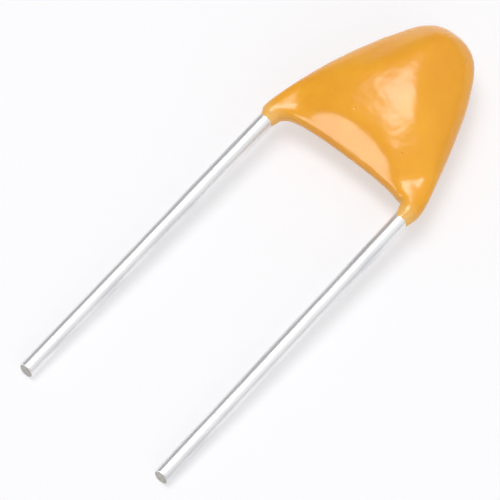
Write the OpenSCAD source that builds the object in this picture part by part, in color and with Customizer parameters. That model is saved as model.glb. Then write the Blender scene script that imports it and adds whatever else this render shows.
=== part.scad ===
// Multilayer ceramic capacitor with two radial wires, dipped in epoxy resin.
// Millimetres. It lies on the floor z = 0, on the belly of its coating and on both wire tips.
// +Y is the blunt end over the chip and the wires point to -Y. +X runs from the left wire to the right one.
// Inside a module, y = 0 is the seat line, where the coating's corners meet the wires, and z = 0 halves it.

/* [Wires] */

// Diameter of the tinned wire
lead_d = 0.5; // [0.4:0.02:0.6]
// Spacing of the two wires, axis to axis
lead_pitch = 5.08; // [4.7:0.02:5.6]
// Wire showing below the coating
lead_free = 10.7; // [4:0.1:20]
// Height of the lower bend above the seat line
bend_height = 0.15; // [0.1:0.01:0.2]
// Radius of the bends, on the wire's axis
bend_r = 0.6; // [0.5:0.02:0.8]
// Height over which a wire leans in towards the chip
lean_rise = 2.85; // [2.6:0.01:3]
// Wire that stands beside the chip, above its upper bend
grip_len = 0.75; // [0.65:0.01:0.85]

/* [Chip] */

// Length of the fired ceramic, from end to end
ceramic_l = 1.54; // [1.4:0.02:1.7]
// Width of the fired ceramic, along the wires
ceramic_w = 0.74; // [0.68:0.01:0.84]
// Thickness of the fired ceramic
ceramic_t = 0.74; // [0.64:0.01:0.84]
// Radius of its tumbled edges
ceramic_edge_r = 0.06; // [0.04:0.005:0.1]
// Lift of the chip above the wires' upper bends
chip_lift = 0.25; // [0.2:0.01:0.3]
// Thickness of the fired metal caps on its ends
cap_t = 0.03; // [0.02:0.002:0.04]
// Reach of a cap along the ceramic's sides
cap_band = 0.35; // [0.25:0.01:0.4]

/* [Electrodes] */

// Number of electrodes, which join the left and the right cap by turns
electrode_count = 12; // [4:2:16]
// Thickness of an electrode
electrode_t = 0.015; // [0.01:0.001:0.02]
// Plain ceramic above the first and below the last electrode
cover_t = 0.1; // [0.08:0.01:0.15]
// Ceramic between an electrode's free end and the far cap
end_margin = 0.2; // [0.15:0.01:0.3]
// Ceramic beside each electrode
side_margin = 0.12; // [0.1:0.01:0.18]

/* [Solder] */

// Solder between a wire and its cap
solder_film = 0.03; // [0.02:0.005:0.05]
// Solder around a wire beside the chip
solder_skin = 0.1; // [0.06:0.01:0.12]
// Solder over the end of a wire
solder_crown = 0.08; // [0.05:0.01:0.1]
// Half the thickness of the joint where it meets the cap
solder_foot = 0.32; // [0.3:0.005:0.34]

/* [Coating] */

// Resin over each face of the chip, before the ridges are softened
coat_face = 0.87; // [0.72:0.01:1]
// Resin beyond the chip at the blunt end
coat_tip = 1; // [0.8:0.01:1.2]
// Half the width of the blunt end
tip_half = 0.9; // [0.75:0.01:1]
// Resin outside the wires, beside their upper ends
coat_side = 0.22; // [0.18:0.01:0.3]
// Resin around a wire where the coating ends
coat_lip = 0.08; // [0.05:0.01:0.12]
// Run of the coating down each wire, below the seat line
run_down = 0.2; // [0.15:0.01:0.3]
// Height of the base edge above the seat line, halfway between the wires
base_rise = 0.08; // [0.06:0.01:0.15]
// Length over which the coating draws in to its lip
neck_len = 1.2; // [1:0.05:1.4]
// Length at each end of the base over which its slope turns down to the lip
base_turn = 1.1; // [0.9:0.05:1.3]
// Half the coating's thickness at its sides, before the rim is rounded
rim_half = 0.42; // [0.38:0.01:0.48]
// Half the coating's thickness at its base, before the rim is rounded
base_rim_half = 0.2; // [0.17:0.01:0.24]
// Half the coating's thickness at the blunt end, before the rim is rounded
tip_rim_half = 0.85; // [0.75:0.01:0.95]
// Slope of the two sides, in degrees
side_slope = 34; // [31:1:38]
// Slope of the base, in degrees
base_slope = 43; // [40:1:46]
// Slope of the blunt end, in degrees
tip_slope = 40; // [36:1:44]
// Radius of the crowned faces, across the wires
crown_across = 5; // [4.5:0.1:6]
// Radius of the crowned faces, along the wires
crown_along = 10; // [9:0.1:12]
// Softness of the ridges where the slopes meet
ridge_soft = 0.07; // [0.05:0.005:0.1]
// Softness of the spine where the two sides meet, at the blunt end
spine_soft = 0.2; // [0.15:0.01:0.25]
// Fullness of the rim at the sides and the blunt end, where 2 is a round one
rim_full = 5; // [4:0.5:6]
// Fullness of the rim at the base, where 2 is a round one
base_rim_full = 12; // [9:0.5:14]

/* [Hidden] */

$fn = 48;
lead_r = lead_d / 2;
lead_x = lead_pitch / 2;
tip_y = -run_down - lead_free;
chip_l = ceramic_l + 2 * cap_t;
chip_t = ceramic_t + 2 * cap_t;
grip_x = chip_l / 2 + solder_film + lead_r;
lean_in = lead_x - grip_x;
lean = round(100 * atan(lean_in / lean_rise)) / 100;
bend_cut = bend_r * tan(lean / 2);
grip_y = bend_height + lean_in / tan(lean);
lead_end = grip_y + grip_len;
chip_y = grip_y + chip_lift + ceramic_w / 2 + cap_t;
layer_pitch = (ceramic_t - 2 * cover_t - electrode_t) / (electrode_count - 1);

// Half the thickness to which a solder joint narrows at its wire's axis
solder_neck = 0.7 * lead_r;

// How far an electrode's slot runs out past the end of the ceramic
slot_past = 0.1;

// The coating's outline, right half: the blunt end, the side down to the lip, and the base edge.
// The pulls are how far its curves hold their way at the shoulder and at both sides of the lip.
shoulder_pull = 1;
lip_out_pull = [0, 0.85];
lip_in_pull = [-0.2, 0.22];
corner_lift = 0.1;
lip_r = lead_r + coat_lip;
body_end = chip_y + ceramic_w / 2 + cap_t + coat_tip;
side_way = [-sin(lean), cos(lean)];
shoulder = [grip_x + lead_r + coat_side, lead_end];
lip_out = [lead_x + lip_r, -run_down];
lip_in = [lead_x - lip_r, -run_down];
tip_edge = [[0, body_end], [tip_half, body_end], shoulder + shoulder_pull * side_way, shoulder];
side_edge = [shoulder, shoulder - shoulder_pull * side_way, lip_out + lip_out_pull, lip_out];
base_edge = [[0, base_rise], [lead_x / 2, base_rise], lip_in + lip_in_pull, lip_in];
corner = [lead_x + lip_r, bend_height + corner_lift];
side_in = [corner[1] - shoulder[1], shoulder[0] - corner[0]] / norm(shoulder - corner);
pad_half = chip_t / 2 + coat_face;

// Rings of points across the coating, from the left lip over the blunt end to the right lip.
// The blunt end takes tip_share of each half, and past round_from the rim begins to turn round.
half_rings = 26;
ring_points = 32;
tip_share = 0.42;
round_from = 0.4;
coat_points = [for (i = [-half_rings:half_rings]) each coat_ring(i)];
coat_faces = concat(
    [[for (j = [0:ring_points - 1]) j]],
    [for (i = [0:2 * half_rings - 1], j = [0:ring_points - 1]) each ring_quad(i, j)],
    [[for (j = [ring_points - 1:-1:0]) 2 * half_rings * ring_points + j]]);

// The slope and place at which it comes to rest
rest_slope = max([for (p = coat_points) atan2(-p[2] - lead_r, p[1] - tip_y)]);
rest_back = tip_y * cos(rest_slope) - lead_r * sin(rest_slope);
rest_front = max([for (p = coat_points) p[1] * cos(rest_slope) - p[2] * sin(rest_slope)]);
rest_lift = lead_r * cos(rest_slope) - tip_y * sin(rest_slope);

function electrode_name(i) = str("electrode_", i);

function bezier(p, t) = pow(1 - t, 3) * p[0] + 3 * pow(1 - t, 2) * t * p[1]
    + 3 * (1 - t) * t * t * p[2] + pow(t, 3) * p[3];

function smooth(t) = let (c = min(max(t, 0), 1)) c * c * (3 - 2 * c);

// Outer edge at t, from the blunt end (0) to the lip (1)
function outer_edge(t) = t < tip_share
    ? bezier(tip_edge, t / tip_share)
    : bezier(side_edge, (t - tip_share) / (1 - tip_share));

// The least of some heights, with the change from one to the next softened
function soft_min(h, soft) = -soft * ln([for (x = h) exp(-x / soft)] * [for (x = h) 1]);

// The line that the base slope rises from: straight between the wires, and turned down to each lip
function base_line(x) = base_rise - (base_rise + run_down) * smooth(1 - (lead_x - abs(x)) / base_turn);

// Half the coating's thickness before its rim is rounded: the crown over the chip and the slopes
function roof(p) = soft_min([
    pad_half - pow(p[0], 2) / (2 * crown_across) - pow(p[1] - chip_y, 2) / (2 * crown_along),
    soft_min([for (x = [p[0], -p[0]])
        rim_half + tan(side_slope) * (([x, p[1]] - corner) * side_in)], spine_soft),
    base_rim_half + tan(base_slope) * (p[1] - base_line(p[0])),
    tip_rim_half + tan(tip_slope) * (body_end - p[1])], ridge_soft);

// The same, never under the lip and drawn in to it along the wire
function swell(p) = lip_r
    - smooth(norm(p - [lead_x, -run_down]) / neck_len) * soft_min([0, lip_r - roof(p)], ridge_soft);

// One ring: the chord from the outer edge to the base edge, swollen to both faces.
// Its rim is rounded, and turns into a circle at the lip.
function coat_ring(i) = let (
    t = abs(i) / half_rings,
    side = i < 0 ? -1 : 1,
    o = outer_edge(t),
    b = bezier(base_edge, t),
    free = 1 - smooth((t - round_from) / (1 - round_from))
) [for (j = [0:ring_points - 1]) let (
    turn = 360 * j / ring_points,
    p = o + (b - o) * (1 - cos(turn)) / 2,
    fullness = 2 + free * ((cos(turn) > 0 ? rim_full : base_rim_full) - 2),
    rim = sqrt(max(0, 1 - pow(abs(cos(turn)), fullness))),
    face = turn < 180 ? 1 : -1
) [side * p[0], p[1], face * swell(p) * rim]];

// Two triangles between neighbouring rings, split along the higher diagonal
function ring_quad(i, j) = let (
    k = (j + 1) % ring_points,
    a = i * ring_points,
    b = a + ring_points
) abs(coat_points[a + j][2] + coat_points[b + k][2]) > abs(coat_points[b + j][2] + coat_points[a + k][2])
    ? [[a + j, b + j, b + k], [a + j, b + k, a + k]]
    : [[a + j, b + j, a + k], [b + j, b + k, a + k]];

module at_rest() {
    translate([0, -(rest_back + rest_front) / 2, rest_lift]) rotate([rest_slope, 0, 0]) children();
}

// A straight stretch of wire, with what follows at its end
module straight(len) {
    rotate([-90, 0, 0]) cylinder(d = lead_d, h = len);
    translate([0, len, 0]) children();
}

// A bend to the left, or to the right if angle is negative, with what follows at its end
module bend(angle) {
    right = angle < 0 ? 1 : 0;
    mirror([right, 0, 0]) translate([-bend_r, 0, 0]) {
        rotate_extrude(angle = abs(angle)) translate([bend_r, 0]) circle(d = lead_d);
        rotate([0, 0, abs(angle)]) translate([bend_r, 0, 0]) mirror([right, 0, 0]) children();
    }
}

// Right wire, from its tip: straight out of the coating, leaning in to the chip, upright beside it
module wire() {
    translate([lead_x, tip_y, 0])
        straight(bend_height - bend_cut - tip_y) bend(lean)
        straight(lean_in / sin(lean) - 2 * bend_cut) bend(-lean)
        straight(grip_len - bend_cut);
}

// Right joint, solid: a skin around the wire's end with a foot on the cap
module solder_block() {
    foot = chip_y - ceramic_w / 2;
    translate([0, lead_end + solder_crown, 0]) rotate([90, 0, 0])
        linear_extrude(lead_end + solder_crown - foot) {
            translate([grip_x, 0]) circle(r = lead_r + solder_skin);
            polygon([[chip_l / 2, -solder_foot], [grip_x, -solder_neck],
                     [grip_x, solder_neck], [chip_l / 2, solder_foot]]);
        }
}

// A block along X with its four long edges rounded
module block(x0, x1, w, t, r) {
    translate([x0, chip_y, 0]) rotate([90, 0, 90]) linear_extrude(x1 - x0) {
        square([w - 2 * r, t], center = true);
        square([w, t - 2 * r], center = true);
        for (sx = [-1, 1], sy = [-1, 1])
            translate([sx * (w / 2 - r), sy * (t / 2 - r)]) circle(r = r);
    }
}

module ceramic_block() {
    block(-ceramic_l / 2, ceramic_l / 2, ceramic_w, ceramic_t, ceramic_edge_r);
}

// Right cap, solid
module cap_block() {
    block(ceramic_l / 2 - cap_band, chip_l / 2, ceramic_w + 2 * cap_t, chip_t, ceramic_edge_r + cap_t);
}

// One printed electrode, with its outer end lengthened by extra
module plate(i, extra = 0) {
    mirror([i % 2, 0, 0])
        translate([end_margin - ceramic_l / 2, chip_y - ceramic_w / 2 + side_margin,
                   cover_t - ceramic_t / 2 + (i - 1) * layer_pitch])
            cube([ceramic_l - end_margin + extra, ceramic_w - 2 * side_margin, electrode_t]);
}

module epoxy_coating() {
    color("#f0a530") at_rest() difference() {
        polyhedron(coat_points, coat_faces, convexity = 6);
        for (side = [0, 1]) mirror([side, 0, 0]) {
            wire();
            solder_block();
            cap_block();
        }
        ceramic_block();
    }
}

module lead(side) {
    color("#c9cbcd") at_rest() mirror([side, 0, 0]) wire();
}

module solder(side) {
    color("#a9adb2") at_rest() mirror([side, 0, 0]) difference() {
        solder_block();
        wire();
        cap_block();
    }
}

module cap(side) {
    color("#c4c0b8") at_rest() mirror([side, 0, 0]) difference() {
        cap_block();
        ceramic_block();
    }
}

module ceramic_body() {
    color("#c9b08a") at_rest() difference() {
        ceramic_block();
        for (i = [1:electrode_count]) plate(i, slot_past);
    }
}

module electrode(i) {
    color("#8a8d92") at_rest() plate(i);
}

epoxy_coating();
lead(1);  // lead_left
lead(0);  // lead_right
solder(1);  // solder_left
solder(0);  // solder_right
cap(1);  // cap_left
cap(0);  // cap_right
ceramic_body();
for (i = [1:electrode_count])
    electrode(i);
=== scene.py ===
import math

import bmesh
import bpy
from mathutils import Matrix, Quaternion, Vector, noise


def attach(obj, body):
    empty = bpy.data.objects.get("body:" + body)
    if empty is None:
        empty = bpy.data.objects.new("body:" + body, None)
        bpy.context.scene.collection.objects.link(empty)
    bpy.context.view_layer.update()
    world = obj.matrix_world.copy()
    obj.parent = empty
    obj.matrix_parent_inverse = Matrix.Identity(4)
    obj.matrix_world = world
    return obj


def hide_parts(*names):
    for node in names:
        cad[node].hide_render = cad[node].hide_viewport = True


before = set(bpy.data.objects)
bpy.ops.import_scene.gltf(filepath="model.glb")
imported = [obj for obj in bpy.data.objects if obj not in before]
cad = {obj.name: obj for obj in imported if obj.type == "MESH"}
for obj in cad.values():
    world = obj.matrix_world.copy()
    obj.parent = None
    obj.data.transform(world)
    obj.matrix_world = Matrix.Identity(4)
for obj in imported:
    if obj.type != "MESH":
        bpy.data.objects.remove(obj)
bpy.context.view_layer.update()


# Ceramic body
# Barium titanate tape, stacked with the printed electrodes, cut into a block and fired to one piece.
# Resin covers it all round, so the solid stays as it is and only gets its finish.

def linear(colour):
    """An sRGB hex colour as linear red, green, blue and alpha."""
    parts = [int(colour[i:i + 2], 16) / 255 for i in (1, 3, 5)]
    return [c / 12.92 if c <= 0.04045 else ((c + 0.055) / 1.055) ** 2.4 for c in parts] + [1.0]


def add(tree, kind, inputs=None, **settings):
    """Adds a node. Settings are its own choices, inputs are values or other nodes' outputs."""
    node = tree.nodes.new(kind)
    for name, value in settings.items():
        setattr(node, name, value)
    for socket, value in (inputs or {}).items():
        if isinstance(value, bpy.types.NodeSocket):
            tree.links.new(value, node.inputs[socket])
        else:
            node.inputs[socket].default_value = value
    return node


def new_finish(name):
    """An empty material, its node tree and the piece's own coordinates, in metres."""
    finish = bpy.data.materials.new(name)
    finish.use_nodes = True
    tree = finish.node_tree
    tree.nodes.clear()
    return finish, tree, add(tree, "ShaderNodeTexCoord").outputs["Object"]


# A Mix node's two colours and the colour that it gives, by the numbers of their sockets.
MIX_A, MIX_B, MIXED = 6, 7, 2
MM = 0.001
CERAMIC_PALE, CERAMIC_DARK = "#cbb592", "#a88d68"
KILN_CLOUD, CERAMIC_GRAIN, GRAIN_DEPTH = 0.4 * MM, 0.03 * MM, 0.004 * MM

# Fired titanate is a dense, matt tan ceramic with a fine grain and faint clouds from the kiln. The real
# grain is finer still, and is drawn this coarse so that it shows.
fired_ceramic, tree, place = new_finish("fired_barium_titanate")
clouds = add(tree, "ShaderNodeTexNoise", {"Vector": place, "Scale": 1 / KILN_CLOUD, "Detail": 3.0})
tan = add(tree, "ShaderNodeMix", {0: clouds.outputs["Fac"], MIX_A: linear(CERAMIC_PALE),
                                  MIX_B: linear(CERAMIC_DARK)}, data_type="RGBA")
grain = add(tree, "ShaderNodeTexNoise", {"Vector": place, "Scale": 1 / CERAMIC_GRAIN, "Detail": 2.0})
grainy = add(tree, "ShaderNodeBump", {"Height": grain.outputs["Fac"], "Strength": 0.4,
                                      "Distance": GRAIN_DEPTH})
matt = add(tree, "ShaderNodeBsdfPrincipled", {"Base Color": tan.outputs[MIXED], "Roughness": 0.62,
                                              "IOR": 1.9, "Normal": grainy.outputs["Normal"]})
add(tree, "ShaderNodeOutputMaterial", {"Surface": matt.outputs["BSDF"]})

cad["ceramic_body"].data.materials.clear()
cad["ceramic_body"].data.materials.append(fired_ceramic)


# Electrodes
# Nickel paste, screen printed on the ceramic tape and fired with it to thin metal sheets.
# Every second one reaches the left end of the chip, and the others reach the right end.

ELECTRODES = [name for name in cad if name.startswith("electrode_")]
NICKEL = "#8f8c86"
SCREEN_THREAD, PRINT_DEPTH = 0.05 * MM, 0.002 * MM

# Fired nickel is a grey metal with the faint mesh of the printing screen.
fired_nickel, tree, place = new_finish("fired_nickel")
mesh_print = add(tree, "ShaderNodeTexVoronoi", {"Vector": place, "Scale": 1 / SCREEN_THREAD,
                                                "Randomness": 0.4})
screen = add(tree, "ShaderNodeBump", {"Height": mesh_print.outputs["Distance"], "Strength": 0.3,
                                      "Distance": PRINT_DEPTH})
dulled = add(tree, "ShaderNodeMapRange", {"Value": mesh_print.outputs["Distance"], "To Min": 0.35,
                                          "To Max": 0.55})
sheet_metal = add(tree, "ShaderNodeBsdfPrincipled", {
    "Base Color": linear(NICKEL), "Metallic": 1.0, "Roughness": dulled.outputs["Result"],
    "Normal": screen.outputs["Normal"]})
add(tree, "ShaderNodeOutputMaterial", {"Surface": sheet_metal.outputs["BSDF"]})

for name in ELECTRODES:
    cad[name].data.materials.clear()
    cad[name].data.materials.append(fired_nickel)


# End caps
# Metal paste on both ends of the chip, fired on and plated with tin, so that solder takes to it.
# Each cap folds round the end of the ceramic and joins the electrodes that come out there.

PLATED_TIN = "#d0cec8"
PEBBLE, PEBBLE_DEPTH = 0.06 * MM, 0.006 * MM

# Matt tin is a soft white metal with a pebbled surface from the paste below it.
matt_tin, tree, place = new_finish("matt_tin_plate")
pebbles = add(tree, "ShaderNodeTexNoise", {"Vector": place, "Scale": 1 / PEBBLE, "Detail": 3.0})
pebbled = add(tree, "ShaderNodeBump", {"Height": pebbles.outputs["Fac"], "Strength": 0.5,
                                       "Distance": PEBBLE_DEPTH})
satin = add(tree, "ShaderNodeMapRange", {"Value": pebbles.outputs["Fac"], "To Min": 0.36,
                                         "To Max": 0.52})
plate = add(tree, "ShaderNodeBsdfPrincipled", {
    "Base Color": linear(PLATED_TIN), "Metallic": 1.0, "Roughness": satin.outputs["Result"],
    "Normal": pebbled.outputs["Normal"]})
add(tree, "ShaderNodeOutputMaterial", {"Surface": plate.outputs["BSDF"]})

for name in ("cap_left", "cap_right"):
    cad[name].data.materials.clear()
    cad[name].data.materials.append(matt_tin)


# Wires
# Two lengths of tinned wire, drawn to half a millimetre and cut off by a blade at the free end.
# Each comes up straight, leans in inside the coating and ends upright beside the chip.

# Millimetres, with the part lying square: x across it, y from its corners up the body, z through it.
LEAD_R, LEAD_X, TIP_Y = 0.25, 2.54, -10.9
BEND_HEIGHT, BEND_R, LEAN = 0.15, 0.6, math.radians(27.13)
GRIP_X, GRIP_LEN, RUN_DOWN = 1.08, 0.75, 0.2
BEND_CUT = BEND_R * math.tan(LEAN / 2)
GRIP_Y = BEND_HEIGHT + (LEAD_X - GRIP_X) / math.tan(LEAN)
WIRE_SIDES, BEND_STEPS, RANK_STEP = 64, 8, 1e-4

# The cut end: how far back it starts, the length of its rounded edge and its slant, and then that edge in
# steps, each with its share of the length and how far it draws in. Its face takes the second finish.
CUT_BACK, CUT_EDGE, CUT_SLANT = 0.14, 0.045, 0.16
CUT_ROUND = ((0.45, 0.98), (0.35, 0.95), (0.2, 0.92))
CUT_FINISH = 1

# From the part lying square, in millimetres, to where it rests on the floor, in metres.
REST_SLOPE, REST_Y, REST_Z = math.radians(4.08502), 2.92676, 1.02584
AT_REST = (Matrix.Scale(MM, 4) @ Matrix.Translation((0, REST_Y, REST_Z))
           @ Matrix.Rotation(REST_SLOPE, 4, "X"))


def new_piece(name, bm, finish, slot, *nodes):
    """Makes an object of a mesh in millimetres, lays it at rest and puts it in place of CAD nodes."""
    bm.transform(AT_REST)
    mesh = bpy.data.meshes.new(name)
    bm.to_mesh(mesh)
    bm.free()
    mesh.materials.append(finish)
    piece = bpy.data.objects.new(name, mesh)
    bpy.context.scene.collection.objects.link(piece)
    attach(piece, "root")
    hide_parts(*nodes)
    return piece


def loop_of(geom):
    """The edges in an operator's result, as a list."""
    return [g for g in geom if isinstance(g, bmesh.types.BMEdge)]


def ends_of(loop):
    """The vertices of a loop of edges, each of them once and always in the same order."""
    return list(dict.fromkeys(v for e in loop for v in e.verts))


def draw_out(bm, loop, way):
    """Extrudes a loop of edges straight along a way and returns the new loop."""
    geom = bmesh.ops.extrude_edge_only(bm, edges=loop)["geom"]
    bmesh.ops.translate(bm, verts=[g for g in geom if isinstance(g, bmesh.types.BMVert)], vec=way)
    return loop_of(geom)


def bend_on(bm, loop, centre, angle):
    """Spins a loop of edges about an upright axis and returns the last loop."""
    spun = bmesh.ops.spin(bm, geom=loop + ends_of(loop), cent=centre, axis=(0, 0, 1), angle=angle,
                          steps=BEND_STEPS, use_duplicate=False)
    return loop_of(spun["geom_last"])


def rank(part):
    """Ranks an edge or a face by its vertices, because an extrusion makes both in no fixed order."""
    return sum(index * RANK_STEP ** n for n, index in enumerate(sorted(v.index for v in part.verts)))


def make_wire(side):
    """One wire on the right, or mirrored to the left if side is -1, from its cut tip to the chip."""
    bm = bmesh.new()
    tip = bmesh.ops.create_circle(bm, segments=WIRE_SIDES, radius=LEAD_R)["verts"]
    bmesh.ops.rotate(bm, verts=tip, matrix=Matrix.Rotation(math.radians(90), 3, "X"))
    bmesh.ops.translate(bm, verts=tip, vec=(LEAD_X, TIP_Y + CUT_BACK, 0))
    loop = list(bm.edges)

    # The blade leaves the end a little slanted and rounds its edge.
    end = draw_out(bm, loop, (0, CUT_EDGE - CUT_BACK, 0))
    for v in ends_of(end):
        v.co.y += CUT_SLANT * (v.co.z + LEAD_R)
    for step, share in CUT_ROUND:
        end = draw_out(bm, end, (0, -step * CUT_EDGE, 0))
        bmesh.ops.scale(bm, verts=ends_of(end), vec=(share, 1, share),
                        space=Matrix.Translation((-LEAD_X, 0, 0)))
    bmesh.ops.edgeloop_fill(bm, edges=end)["faces"][0].material_index = CUT_FINISH

    loop = draw_out(bm, loop, (0, BEND_HEIGHT - BEND_CUT - TIP_Y - CUT_BACK, 0))
    loop = bend_on(bm, loop, (LEAD_X - BEND_R, BEND_HEIGHT - BEND_CUT, 0), LEAN)
    slant = (LEAD_X - GRIP_X) / math.sin(LEAN) - 2 * BEND_CUT
    loop = draw_out(bm, loop, (-slant * math.sin(LEAN), slant * math.cos(LEAN), 0))
    loop = bend_on(bm, loop, (GRIP_X + BEND_R, GRIP_Y + BEND_CUT, 0), -LEAN)
    loop = draw_out(bm, loop, (0, GRIP_LEN - BEND_CUT, 0))
    bmesh.ops.edgeloop_fill(bm, edges=loop)

    bmesh.ops.scale(bm, verts=bm.verts, vec=(side, 1, 1))
    bmesh.ops.recalc_face_normals(bm, faces=bm.faces)
    for f in bm.faces:
        f.smooth = len(f.verts) == 4
    bm.verts.index_update()
    bm.edges.sort(key=rank)
    bm.faces.sort(key=rank)
    return bm


TIN, TIN_DULL, SMEAR = "#f0f0f1", "#d6d7da", "#e2d2b2"
DRAWN_LINE, LINE_DEPTH, LINE_STRETCH = 0.05 * MM, 0.006 * MM, (1.0, 0.02, 1.0)
HAZE_STREAK, HAZE_STRETCH = 0.5 * MM, (1.0, 0.2, 1.0)
SMEAR_RAG, SMEAR_REACH, SMEAR_FADE = 0.25 * MM, 0.5 * MM, 0.2 * MM

# Where the lips end, up the part at rest.
LIP_AT = (REST_Y - RUN_DOWN) * MM

# Bright tin over drawn wire: a white metal, a little hazy, with faint lines and dull streaks along the
# wire. The real lines are finer, and are drawn this coarse so that they show. Just below the coating the
# wire is smeared with a thin film of pale resin.
tinned_wire, tree, place = new_finish("bright_tinned_wire")
along = add(tree, "ShaderNodeSeparateXYZ", {"Vector": place})
stretched = add(tree, "ShaderNodeMapping", {"Vector": place, "Scale": LINE_STRETCH})
drawn = add(tree, "ShaderNodeTexNoise", {"Vector": stretched.outputs["Vector"],
                                         "Scale": 1 / DRAWN_LINE, "Detail": 2.0})
drawn_out = add(tree, "ShaderNodeMapping", {"Vector": place, "Scale": HAZE_STRETCH})
haze = add(tree, "ShaderNodeTexNoise", {"Vector": drawn_out.outputs["Vector"], "Scale": 1 / HAZE_STREAK,
                                        "Detail": 3.0})
dull = add(tree, "ShaderNodeMapRange", {"Value": haze.outputs["Fac"], "From Min": 0.42,
                                        "From Max": 0.72})
tin = add(tree, "ShaderNodeMix", {0: dull.outputs["Result"], MIX_A: linear(TIN),
                                  MIX_B: linear(TIN_DULL)}, data_type="RGBA")
ragged = add(tree, "ShaderNodeTexNoise", {"Vector": place, "Scale": 1 / SMEAR_RAG, "Detail": 3.0})
edge = add(tree, "ShaderNodeMath", {0: ragged.outputs["Fac"], 1: SMEAR_REACH, 2: along.outputs["Y"]},
           operation="MULTIPLY_ADD")
film = add(tree, "ShaderNodeMapRange", {"Value": edge.outputs["Value"], "From Min": LIP_AT - SMEAR_FADE,
                                        "From Max": LIP_AT + SMEAR_FADE})
colour = add(tree, "ShaderNodeMix", {0: film.outputs["Result"], MIX_A: tin.outputs[MIXED],
                                     MIX_B: linear(SMEAR)}, data_type="RGBA")
bare = add(tree, "ShaderNodeMapRange", {"Value": film.outputs["Result"], "To Min": 1.0, "To Max": 0.25})
rough = add(tree, "ShaderNodeMapRange", {"Value": dull.outputs["Result"], "To Min": 0.28, "To Max": 0.4})
lines = add(tree, "ShaderNodeBump", {"Height": drawn.outputs["Fac"], "Strength": 0.6,
                                     "Distance": LINE_DEPTH})
metal = add(tree, "ShaderNodeBsdfPrincipled", {
    "Base Color": colour.outputs[MIXED], "Metallic": bare.outputs["Result"],
    "Roughness": rough.outputs["Result"], "Normal": lines.outputs["Normal"]})
add(tree, "ShaderNodeOutputMaterial", {"Surface": metal.outputs["BSDF"]})

CORE_DARK, CORE_PALE = "#8f8c88", "#cfccc6"
TORN_STREAK, TORN_DEPTH, TORN_STRETCH = 0.04 * MM, 0.01 * MM, (1.0, 1.0, 0.15)

# The cut face is the wire's own metal, grey and dull, with streaks where the blade went through.
cut_metal, tree, place = new_finish("sheared_wire_end")
upward = add(tree, "ShaderNodeMapping", {"Vector": place, "Scale": TORN_STRETCH})
streaks = add(tree, "ShaderNodeTexNoise", {"Vector": upward.outputs["Vector"], "Scale": 1 / TORN_STREAK,
                                           "Detail": 3.0})
torn = add(tree, "ShaderNodeBump", {"Height": streaks.outputs["Fac"], "Strength": 0.6,
                                    "Distance": TORN_DEPTH})
grey = add(tree, "ShaderNodeMix", {0: streaks.outputs["Fac"], MIX_A: linear(CORE_DARK),
                                   MIX_B: linear(CORE_PALE)}, data_type="RGBA")
core = add(tree, "ShaderNodeBsdfPrincipled", {
    "Base Color": grey.outputs[MIXED], "Metallic": 1.0, "Roughness": 0.5,
    "Normal": torn.outputs["Normal"]})
add(tree, "ShaderNodeOutputMaterial", {"Surface": core.outputs["BSDF"]})

for name, side in (("left", -1), ("right", 1)):
    wire = new_piece("wire_" + name, make_wire(side), tinned_wire, "tinned_wire", "lead_" + name)
    wire.data.materials.append(cut_metal)


# Solder joints
# Tin solder, run in between the end of each wire and the chip's cap when the wires grip the chip.
# It holds the chip until the resin covers it, and the solids stay as they are.

SOLDER_GREY = "#bfc1c4"
FROST_GRAIN, FROST_DEPTH = 0.04 * MM, 0.003 * MM

# Reflowed solder is a grey white metal, smooth in the large, with a frosted grain.
frosted_solder, tree, place = new_finish("reflowed_tin_solder")
frost = add(tree, "ShaderNodeTexVoronoi", {"Vector": place, "Scale": 1 / FROST_GRAIN})
frosted = add(tree, "ShaderNodeBump", {"Height": frost.outputs["Distance"], "Strength": 0.35,
                                       "Distance": FROST_DEPTH})
sheen = add(tree, "ShaderNodeMapRange", {"Value": frost.outputs["Distance"], "To Min": 0.25,
                                         "To Max": 0.45})
melt = add(tree, "ShaderNodeBsdfPrincipled", {
    "Base Color": linear(SOLDER_GREY), "Metallic": 1.0, "Roughness": sheen.outputs["Result"],
    "Normal": frosted.outputs["Normal"]})
add(tree, "ShaderNodeOutputMaterial", {"Surface": melt.outputs["BSDF"]})

for name in ("solder_left", "solder_right"):
    cad[name].data.materials.clear()
    cad[name].data.materials.append(frosted_solder)


# Resin coating
# Pigmented epoxy, dipped over the soldered chip and the wires' ends, and cured in an oven.
# It is thick over the chip, slopes away to all sides and runs out in a thin lip along each wire.

# Resin over the wires at the lips and the shoulders, and the body's heights above the wires' upper bends.
COAT_LIP, COAT_SIDE, CHIP_UP, BODY_UP = 0.08, 0.22, 0.65, 2.05
LIP_R, LEAD_END = LEAD_R + COAT_LIP, GRIP_Y + GRIP_LEN
CHIP_Y, BODY_END = GRIP_Y + CHIP_UP, GRIP_Y + BODY_UP

# Half the thickness at each rim and over the chip, the slopes up from the rims and the crown's two radii.
SIDE_RIM, BASE_RIM, TIP_RIM, PAD_HALF = 0.42, 0.2, 0.85, 1.27
SIDE_SLOPE, BASE_SLOPE, TIP_SLOPE = (math.tan(math.radians(a)) for a in (34, 43, 40))
CROWN_ACROSS, CROWN_ALONG = 5.0, 10.0
RIDGE_SOFT, SPINE_SOFT, NECK_LEN = 0.07, 0.2, 1.2

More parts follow.
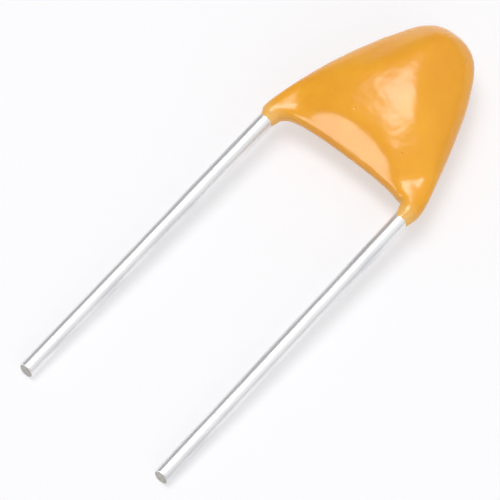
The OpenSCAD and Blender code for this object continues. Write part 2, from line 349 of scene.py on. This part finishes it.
# The right half of the outline: from the blunt end to the shoulder, on to the lip, and along the base.
TIP_HALF, BASE_RISE, BASE_TURN, CORNER_LIFT = 0.9, 0.08, 1.1, 0.1
LIP_OUT_PULL, LIP_IN_PULL = Vector((0, 0.85)), Vector((-0.2, 0.22))
SIDE_WAY = Vector((-math.sin(LEAN), math.cos(LEAN)))
SHOULDER = Vector((GRIP_X + LEAD_R + COAT_SIDE, LEAD_END))
LIP_OUT, LIP_IN = Vector((LEAD_X + LIP_R, -RUN_DOWN)), Vector((LEAD_X - LIP_R, -RUN_DOWN))
TIP_EDGE = (Vector((0, BODY_END)), Vector((TIP_HALF, BODY_END)), SHOULDER + SIDE_WAY, SHOULDER)
SIDE_EDGE = (SHOULDER, SHOULDER - SIDE_WAY, LIP_OUT + LIP_OUT_PULL, LIP_OUT)
BASE_EDGE = (Vector((0, BASE_RISE)), Vector((LEAD_X / 2, BASE_RISE)), LIP_IN + LIP_IN_PULL, LIP_IN)
CORNER = Vector((LEAD_X + LIP_R, BEND_HEIGHT + CORNER_LIFT))
SIDE_IN = Vector((CORNER.y - SHOULDER.y, SHOULDER.x - CORNER.x)).normalized()

# The skin's rings and their points, the shares of the blunt end and of a lip in them, how full the rims
# are, 2 being an ellipse, and where they and the necks start to change on the way to a lip.
RINGS, RING_POINTS, TIP_SHARE, LIP_SHARE = 300, 112, 0.42, 0.07
ELLIPSE, OUTER_FULL, BASE_FULL, ROUND_FROM, NECK_FROM = 2, 5, 12, 0.4, 0.75

# The left lip sits a little lower than the right one, and each runs out unevenly into its wire.
NECK_LIFT, LIP_RUN = {-1: -0.04, 1: 0.08}, {-1: 0.3, 1: 0.42}
LIP_WAVE, LIP_DEPTH = 0.22, 0.006


def smooth(t):
    """Eases from 0 to 1."""
    t = min(max(t, 0), 1)
    return t * t * (3 - 2 * t)


def bezier(p, t):
    """A point on a cubic curve through four control points."""
    return (1 - t) ** 3 * p[0] + 3 * (1 - t) ** 2 * t * p[1] + 3 * (1 - t) * t * t * p[2] + t ** 3 * p[3]


def soft_min(heights, soft):
    """The least of some heights, with the change from one to the next softened."""
    return -soft * math.log(sum(math.exp(-h / soft) for h in heights))


def half_thickness(p):
    """Half the coating's thickness at a point of its outline, before its rim is rounded."""
    sides = [SIDE_RIM + SIDE_SLOPE * (Vector((x, p.y)) - CORNER).dot(SIDE_IN) for x in (p.x, -p.x)]
    base_line = BASE_RISE - (BASE_RISE + RUN_DOWN) * smooth(1 - (LEAD_X - abs(p.x)) / BASE_TURN)
    roof = soft_min((PAD_HALF - p.x ** 2 / (2 * CROWN_ACROSS) - (p.y - CHIP_Y) ** 2 / (2 * CROWN_ALONG),
                     soft_min(sides, SPINE_SOFT),
                     BASE_RIM + BASE_SLOPE * (p.y - base_line),
                     TIP_RIM + TIP_SLOPE * (BODY_END - p.y)), RIDGE_SOFT)
    rise = -soft_min((0, LIP_R - roof), RIDGE_SOFT)
    return LIP_R + smooth((p - Vector((LEAD_X, -RUN_DOWN))).length / NECK_LEN) * rise


def coat_point(across, around):
    """A point of the skin: across from the left lip, -1, to the right one, 1, and around its ring."""
    t = abs(across) / (1 - LIP_SHARE)
    turn = math.pi * (around + 1)
    side = -1 if across < 0 else 1
    neck = Vector((0, NECK_LIFT[side] * smooth((t - NECK_FROM) / (1 - NECK_FROM)), 0))
    if t <= 1:
        outer = (bezier(TIP_EDGE, t / TIP_SHARE) if t < TIP_SHARE
                 else bezier(SIDE_EDGE, (t - TIP_SHARE) / (1 - TIP_SHARE)))
        base = bezier(BASE_EDGE, t)
        p = outer + (base - outer) * (1 - math.cos(turn)) / 2
        full = OUTER_FULL if math.cos(turn) > 0 else BASE_FULL
        full = ELLIPSE + (full - ELLIPSE) * (1 - smooth((t - ROUND_FROM) / (1 - ROUND_FROM)))
        rim = math.sqrt(max(0, 1 - abs(math.cos(turn)) ** full))
        return Vector((side * p.x, p.y, math.copysign(half_thickness(p) * rim, math.sin(turn)))) + neck
    run = (t - 1) * (1 - LIP_SHARE) / LIP_SHARE
    r = LIP_R + (LEAD_R - LIP_DEPTH - LIP_R) * smooth(run)
    uneven = 1 + LIP_WAVE * (math.sin(turn + side) + math.sin(3 * turn + 2 * side) / 2)
    y = -RUN_DOWN - LIP_RUN[side] * run * uneven
    return Vector((side * (LEAD_X + r * math.cos(turn)), y, r * math.sin(turn))) + neck


# A flat grid is rolled into the skin, its seam is merged and both ends are closed inside the wires.
SEAM = 1e-5
bm = bmesh.new()
bmesh.ops.create_grid(bm, x_segments=RINGS, y_segments=RING_POINTS, size=1)
for v in bm.verts:
    v.co = coat_point(v.co.x, v.co.y)
bmesh.ops.remove_doubles(bm, verts=bm.verts, dist=SEAM)
bmesh.ops.holes_fill(bm, edges=[e for e in bm.edges if e.is_boundary], sides=0)
bmesh.ops.recalc_face_normals(bm, faces=bm.faces)

# The resin set unevenly: low swells, less on the lips and where it lies. Each has its width, its height
# and its place in the noise.
SWELLS = ((1.9, 0.045, Vector((3.1, 7.7, 1.3))), (0.7, 0.014, Vector((9.2, 2.4, 5.8))))
BELLY, BELLY_FADE = 1.25, 0.5
bm.normal_update()
moves = []
for v in bm.verts:
    rise = sum(height * noise.noise(v.co / width + start) for width, height, start in SWELLS)
    held = smooth((v.co.y + RUN_DOWN) / NECK_LEN) * smooth((v.co.z + BELLY) / BELLY_FADE)
    moves.append(v.normal * rise * held)
for v, move in zip(bm.verts, moves):
    v.co += move
for f in bm.faces:
    f.smooth = True

RESIN, RESIN_DEEP, RESIN_THIN = "#f6ac1c", "#ee9e14", "#f2bc62"
RESIN_CLOUD, LIP_FADE = 1.6 * MM, 0.25 * MM
DIMPLE, DIMPLE_DEPTH = 0.35 * MM, 0.018 * MM
PINHOLE_SPACE, PINHOLE_DEPTH = 0.7 * MM, 0.03 * MM
LIGHT_REACH, LIGHT_TINT = 0.25 * MM, (1.0, 0.45, 0.15)

# Cured pigmented epoxy: opaque, warm yellow orange, half glossy, with the faint dimples of a dipped
# coat and a few pinholes. It lets a little light in, and is paler where it thins out on the wires.
cured_epoxy, tree, place = new_finish("cured_pigmented_epoxy")
clouds = add(tree, "ShaderNodeTexNoise", {"Vector": place, "Scale": 1 / RESIN_CLOUD, "Detail": 4.0})
depth = add(tree, "ShaderNodeMapRange", {"Value": clouds.outputs["Fac"], "From Min": 0.35,
                                         "From Max": 0.75})
body = add(tree, "ShaderNodeMix", {0: depth.outputs["Result"], MIX_A: linear(RESIN),
                                   MIX_B: linear(RESIN_DEEP)}, data_type="RGBA")
along = add(tree, "ShaderNodeSeparateXYZ", {"Vector": place})
thin = add(tree, "ShaderNodeMapRange", {"Value": along.outputs["Y"], "From Min": LIP_AT + LIP_FADE,
                                        "From Max": LIP_AT - LIP_FADE})
colour = add(tree, "ShaderNodeMix", {0: thin.outputs["Result"], MIX_A: body.outputs[MIXED],
                                     MIX_B: linear(RESIN_THIN)}, data_type="RGBA")
dimples = add(tree, "ShaderNodeTexNoise", {"Vector": place, "Scale": 1 / DIMPLE, "Detail": 1.0})
peel = add(tree, "ShaderNodeBump", {"Height": dimples.outputs["Fac"], "Strength": 0.8,
                                    "Distance": DIMPLE_DEPTH})
bubbles = add(tree, "ShaderNodeTexVoronoi", {"Vector": place, "Scale": 1 / PINHOLE_SPACE})
pits = add(tree, "ShaderNodeMapRange", {"Value": bubbles.outputs["Distance"], "From Max": 0.07})
pinholes = add(tree, "ShaderNodeBump", {"Height": pits.outputs["Result"], "Strength": 0.7,
                                        "Distance": PINHOLE_DEPTH, "Normal": peel.outputs["Normal"]})
satin = add(tree, "ShaderNodeMapRange", {"Value": clouds.outputs["Fac"], "To Min": 0.18, "To Max": 0.27})
resin = add(tree, "ShaderNodeBsdfPrincipled", {
    "Base Color": colour.outputs[MIXED], "Roughness": satin.outputs["Result"], "IOR": 1.6,
    "Specular IOR Level": 0.45, "Subsurface Weight": 0.12, "Subsurface Radius": LIGHT_TINT,
    "Subsurface Scale": LIGHT_REACH, "Normal": pinholes.outputs["Normal"]})
add(tree, "ShaderNodeOutputMaterial", {"Surface": resin.outputs["BSDF"]})

new_piece("resin_coating", bm, cured_epoxy, "epoxy_resin", "epoxy_coating")


# Floor, light and camera
# A white sheet under a soft lamp almost straight above. A low one in front shows in the gloss alone, a
# weak one at the right only fills the shade, and the walls grow lighter upwards and to the right.
# The camera looks down steeply from the right of the wires' ends, through a long lens.

FLOOR_HALF, WHITE = 1.5, "#ffffff"
CARD_LIT, CARD_SEEN, CARD_LIFT = "#e6e5e8", "#b4b3b6", 0.53
bm = bmesh.new()
bmesh.ops.create_grid(bm, x_segments=1, y_segments=1, size=FLOOR_HALF)
mesh = bpy.data.meshes.new("floor")
bm.to_mesh(mesh)
bm.free()
floor = bpy.data.objects.new("floor", mesh)
bpy.context.scene.collection.objects.link(floor)

# To the eye and in the gloss the card is lifted to white and keeps the shadow. It lights the part by its
# plain colour alone.
white_card, tree, place = new_finish("white_card")
path = add(tree, "ShaderNodeLightPath")
shown = add(tree, "ShaderNodeMath", {0: path.outputs["Is Camera Ray"], 1: path.outputs["Is Glossy Ray"]},
            operation="MAXIMUM")
shown = add(tree, "ShaderNodeMath", {0: shown.outputs["Value"], 1: path.outputs["Is Transmission Ray"]},
            operation="MAXIMUM")
lift = add(tree, "ShaderNodeMath", {0: shown.outputs["Value"], 1: CARD_LIFT}, operation="MULTIPLY")
shade = add(tree, "ShaderNodeMix", {0: shown.outputs["Value"], MIX_A: linear(CARD_LIT),
                                    MIX_B: linear(CARD_SEEN)}, data_type="RGBA")
card = add(tree, "ShaderNodeBsdfPrincipled", {
    "Base Color": shade.outputs[MIXED], "Roughness": 0.9, "Specular IOR Level": 0.1,
    "Emission Color": linear(WHITE), "Emission Strength": lift.outputs["Value"]})
add(tree, "ShaderNodeOutputMaterial", {"Surface": card.outputs["BSDF"]})
mesh.materials.append(white_card)

# The walls: white to the eye, a plain grey as fill, and lighter upwards and to the right in the gloss.
LIGHT_SIDE, WALL_FILL = (0.35, 0.0, 0.94), 0.4
world = bpy.data.worlds.new("white_room")
bpy.context.scene.world = world
world.use_nodes = True
tree = world.node_tree
tree.nodes.clear()
path = add(tree, "ShaderNodeLightPath")
shown = add(tree, "ShaderNodeMath", {0: path.outputs["Is Camera Ray"],
                                     1: path.outputs["Is Transmission Ray"]}, operation="MAXIMUM")
facing = add(tree, "ShaderNodeVectorMath", {0: add(tree, "ShaderNodeTexCoord").outputs["Generated"],
                                            1: LIGHT_SIDE}, operation="DOT_PRODUCT")
wall = add(tree, "ShaderNodeMapRange", {"Value": facing.outputs["Value"], "From Min": 0.2,
                                        "From Max": 0.85, "To Min": 0.42, "To Max": 0.95})
level = add(tree, "ShaderNodeMix", {0: path.outputs["Is Diffuse Ray"], 2: wall.outputs["Result"],
                                    3: WALL_FILL})
level = add(tree, "ShaderNodeMath", {0: level.outputs[0], 1: shown.outputs["Value"]}, operation="MAXIMUM")
room = add(tree, "ShaderNodeBackground", {"Color": linear(WHITE), "Strength": level.outputs["Value"]})
add(tree, "ShaderNodeOutputWorld", {"Surface": room.outputs["Background"]})

LAMP_FAR = 0.25
for name, way, roll, width, height, radiance in (
        ("above", (-0.16, 0.03, 0.985), -15, 0.1, 0.15, 6.8),
        ("front", (-0.32, -0.88, 0.35), 0, 0.115, 0.1, 5.2),
        ("right", (0.8, -0.35, 0.48), 0, 0.18, 0.18, 1.2)):
    lamp = bpy.data.lights.new("softbox_" + name, "AREA")
    lamp.shape = "RECTANGLE"
    lamp.size, lamp.size_y = width, height
    lamp.energy = radiance * math.pi * width * height
    softbox = bpy.data.objects.new("softbox_" + name, lamp)
    way = Vector(way).normalized()
    softbox.location = way * LAMP_FAR
    softbox.rotation_mode = "QUATERNION"
    softbox.rotation_quaternion = way.to_track_quat("Z", "Y") @ Quaternion((0, 0, 1), math.radians(roll))
    softbox.visible_glossy = name != "right"
    softbox.visible_diffuse = name != "front"
    bpy.context.scene.collection.objects.link(softbox)

AZIMUTH, ELEVATION, LENS, SENSOR, MARGIN = math.radians(41), math.radians(61), 300, 36, 1.1
back = Vector((math.sin(AZIMUTH) * math.cos(ELEVATION), -math.cos(AZIMUTH) * math.cos(ELEVATION),
               math.sin(ELEVATION)))
turned = (-back).to_track_quat("-Z", "Y")
points = [v.co for name in ("epoxy_coating", "lead_left", "lead_right") for v in cad[name].data.vertices]
aim, spread = Vector(), 0
for axis in (turned @ Vector((1, 0, 0)), turned @ Vector((0, 1, 0))):
    reach = [p.dot(axis) for p in points]
    aim += axis * (max(reach) + min(reach)) / 2
    spread = max(spread, max(reach) - min(reach))
lens = bpy.data.cameras.new("camera")
lens.lens, lens.sensor_width = LENS, SENSOR
lens.clip_start, lens.clip_end = 0.01, 20
camera = bpy.data.objects.new("camera", lens)
camera.location = aim + back * (MARGIN * spread * LENS / SENSOR)
camera.rotation_mode = "QUATERNION"
camera.rotation_quaternion = turned
bpy.context.scene.collection.objects.link(camera)
bpy.context.scene.camera = camera
bpy.context.scene.view_settings.view_transform = "Standard"

bpy.context.view_layer.update()
